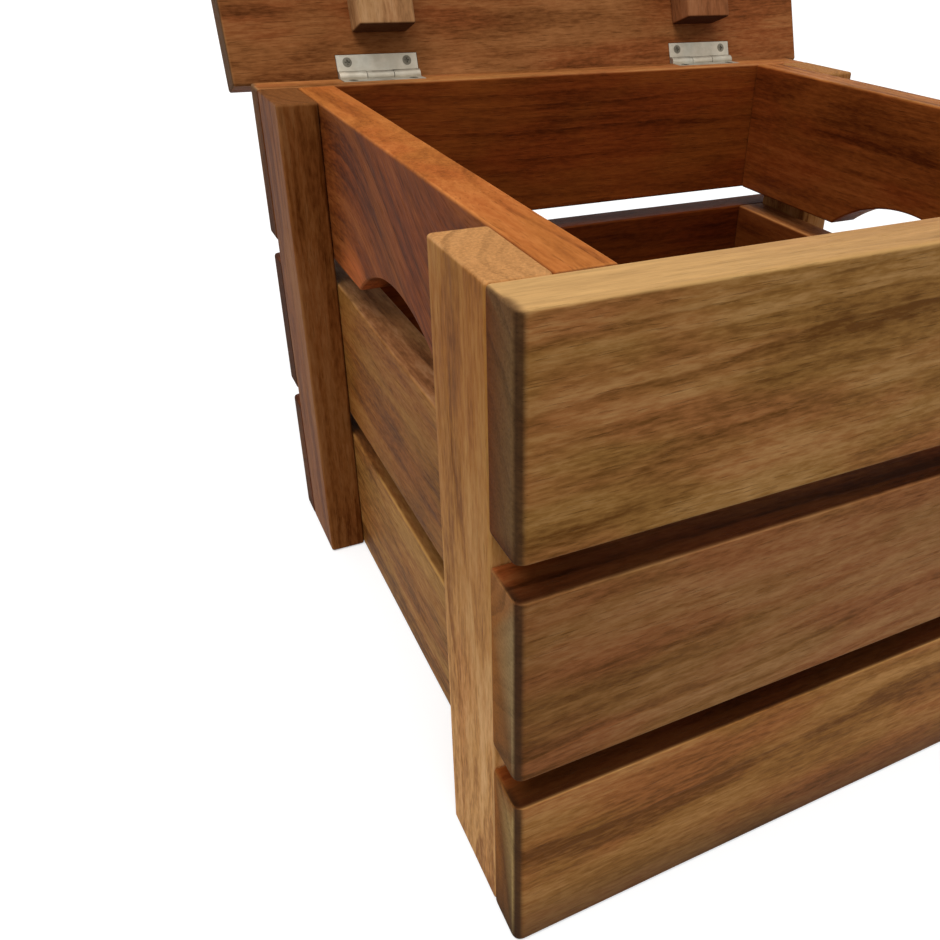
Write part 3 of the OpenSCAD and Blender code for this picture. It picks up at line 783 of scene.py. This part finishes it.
def steel(name, base, dull, rough):
    """Zinc-plated steel with cloudy plating, fine scratches and dirt in the low spots."""
    mat, bsdf = new_material(name)
    g = Graph(mat)
    place = g.nodes.new("ShaderNodeTexCoord").outputs["Object"]
    clouds = g.noise(place, 130, 4, 0.55)
    tint = g.noise(place, 45, 2, 0.5)
    fine = g.noise(place, 2600, 3, 0.6)
    brush = g.noise(g.vector("MULTIPLY", place, (160, 5200, 5200)), 1, 3, 0.6)
    cool = tuple(c * k for c, k in zip(base, (0.93, 1.0, 1.06)))
    col = g.mix(g.step(tint, 0.35, 0.65), base, cool)
    col = g.mix(g.step(clouds, 0.3, 0.75, 0.55, 0), col, dull)
    col = g.mix(g.step(fine, 0.64, 0.78, 0, 0.4), col, scaled(dull, 0.45))
    g.put(bsdf.inputs["Base Color"], col)
    bsdf.inputs["Metallic"].default_value = 0.85
    r = g.math("MULTIPLY_ADD", clouds, 0.3, rough - 0.15)
    g.put(bsdf.inputs["Roughness"], g.math("MULTIPLY_ADD", brush, 0.16, r, clamp=True))
    g.put(bsdf.inputs["Normal"], g.bump(g.math("ADD", brush, fine), 0.00003, 0.5))
    return mat


METAL = {
    "hinges": steel("zinc_plate", srgb(203, 192, 173), srgb(152, 141, 122), 0.5),
    "screws": steel("zinc_screw", srgb(132, 124, 108), srgb(74, 65, 52), 0.5),
    "nails": steel("dull_nail", srgb(128, 118, 106), srgb(74, 60, 48), 0.6),
}
# The hinges' leaves and pins and their screws are shown as they are in the frame
for name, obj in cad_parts.items():
    kind = "screws" if name.endswith("screws") else "hinges" if "hinge" in name else None
    if kind:
        obj.data.materials.clear()
        obj.data.materials.append(METAL[kind])

# Depth of a nail's head: filled over, or just below the surface in its hole
FILLED, SUNK = 1.6, 0.35


def nails(name, places, length, sunk, body="box"):
    """The nails of one node."""
    obj = rods(name, places, nail_profile(length, sunk))
    if body == "lid":
        open_lid(obj.data)
    obj.data.materials.append(METAL["nails"])
    obj.data.shade_smooth()
    obj.data.set_sharp_from_angle(angle=math.radians(40))
    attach(obj, body)
    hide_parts(name)


def mirrored(places, axis):
    """The same nails on the other side of the box."""
    def flip(v):
        return tuple(-c if i == axis else c for i, c in enumerate(v))

    return [(flip(place), flip(direction)) for place, direction in places]


nails("front_slat_nails", front_places, 45, FILLED)
nails("back_slat_nails", mirrored(front_places, 1), 45, FILLED)
nails("right_board_nails", side_places, 36, FILLED)
nails("left_board_nails", mirrored(side_places, 0), 36, FILLED)
nails("bearer_nails", bearer_places, 34, FILLED)
nails("base_nails", [p for group in base_places for p in group], 28, SUNK)
nails("lid_nails", [p for group in lid_places for p in group], 36, SUNK, "lid")

# ---- Floor, world and light ----

FLOOR_DROP = 0.0005


def plainly_seen(g):
    """1 for the rays that show the white background: the camera's, and those off or through
    what reflects or lets light through."""
    path = g.nodes.new("ShaderNodeLightPath").outputs
    mirrored_ray = g.math("MAXIMUM", path["Is Glossy Ray"], path["Is Transmission Ray"])
    return g.math("MAXIMUM", path["Is Camera Ray"], mirrored_ray)


bm = bmesh.new()
bmesh.ops.create_grid(bm, x_segments=1, y_segments=1, size=20)
floor = mesh_object("floor", bm)
floor.location.z = -FLOOR_DROP
floor_mat, floor_bsdf = new_material("floor")
fg = Graph(floor_mat)
seen = plainly_seen(fg)
fg.put(floor_bsdf.inputs["Base Color"], fg.mix(seen, (0.30, 0.295, 0.29), (0.66, 0.66, 0.66)))
floor_bsdf.inputs["Roughness"].default_value = 0.9
floor_bsdf.inputs["Specular IOR Level"].default_value = 0.0
floor_bsdf.inputs["Emission Color"].default_value = (1, 1, 1, 1)
fg.put(floor_bsdf.inputs["Emission Strength"], fg.math("MULTIPLY", seen, 0.46))
floor.data.materials.append(floor_mat)

# The world lights softly, and shows white where it is seen
world = bpy.data.worlds.new("world")
bpy.context.scene.world = world
world.use_nodes = True
wg = Graph(world)
wg.nodes.clear()
either = wg.nodes.new("ShaderNodeMixShader")
wg.put(either.inputs[0], plainly_seen(wg))
for i, strength in ((1, 0.50), (2, 1.0)):
    light = wg.nodes.new("ShaderNodeBackground")
    light.inputs[0].default_value = (1, 1, 1, 1)
    light.inputs[1].default_value = strength
    wg.put(either.inputs[i], light.outputs[0])
wg.put(wg.nodes.new("ShaderNodeOutputWorld").inputs[0], either.outputs[0])

key_data = bpy.data.lights.new("key", "SUN")
key_data.energy = 1.9
key_data.angle = math.radians(40)
key = add_object("key", key_data)
key.rotation_mode = "QUATERNION"
key.rotation_quaternion = Vector((0.30, 0.28, -1.0)).to_track_quat("-Z", "Y")
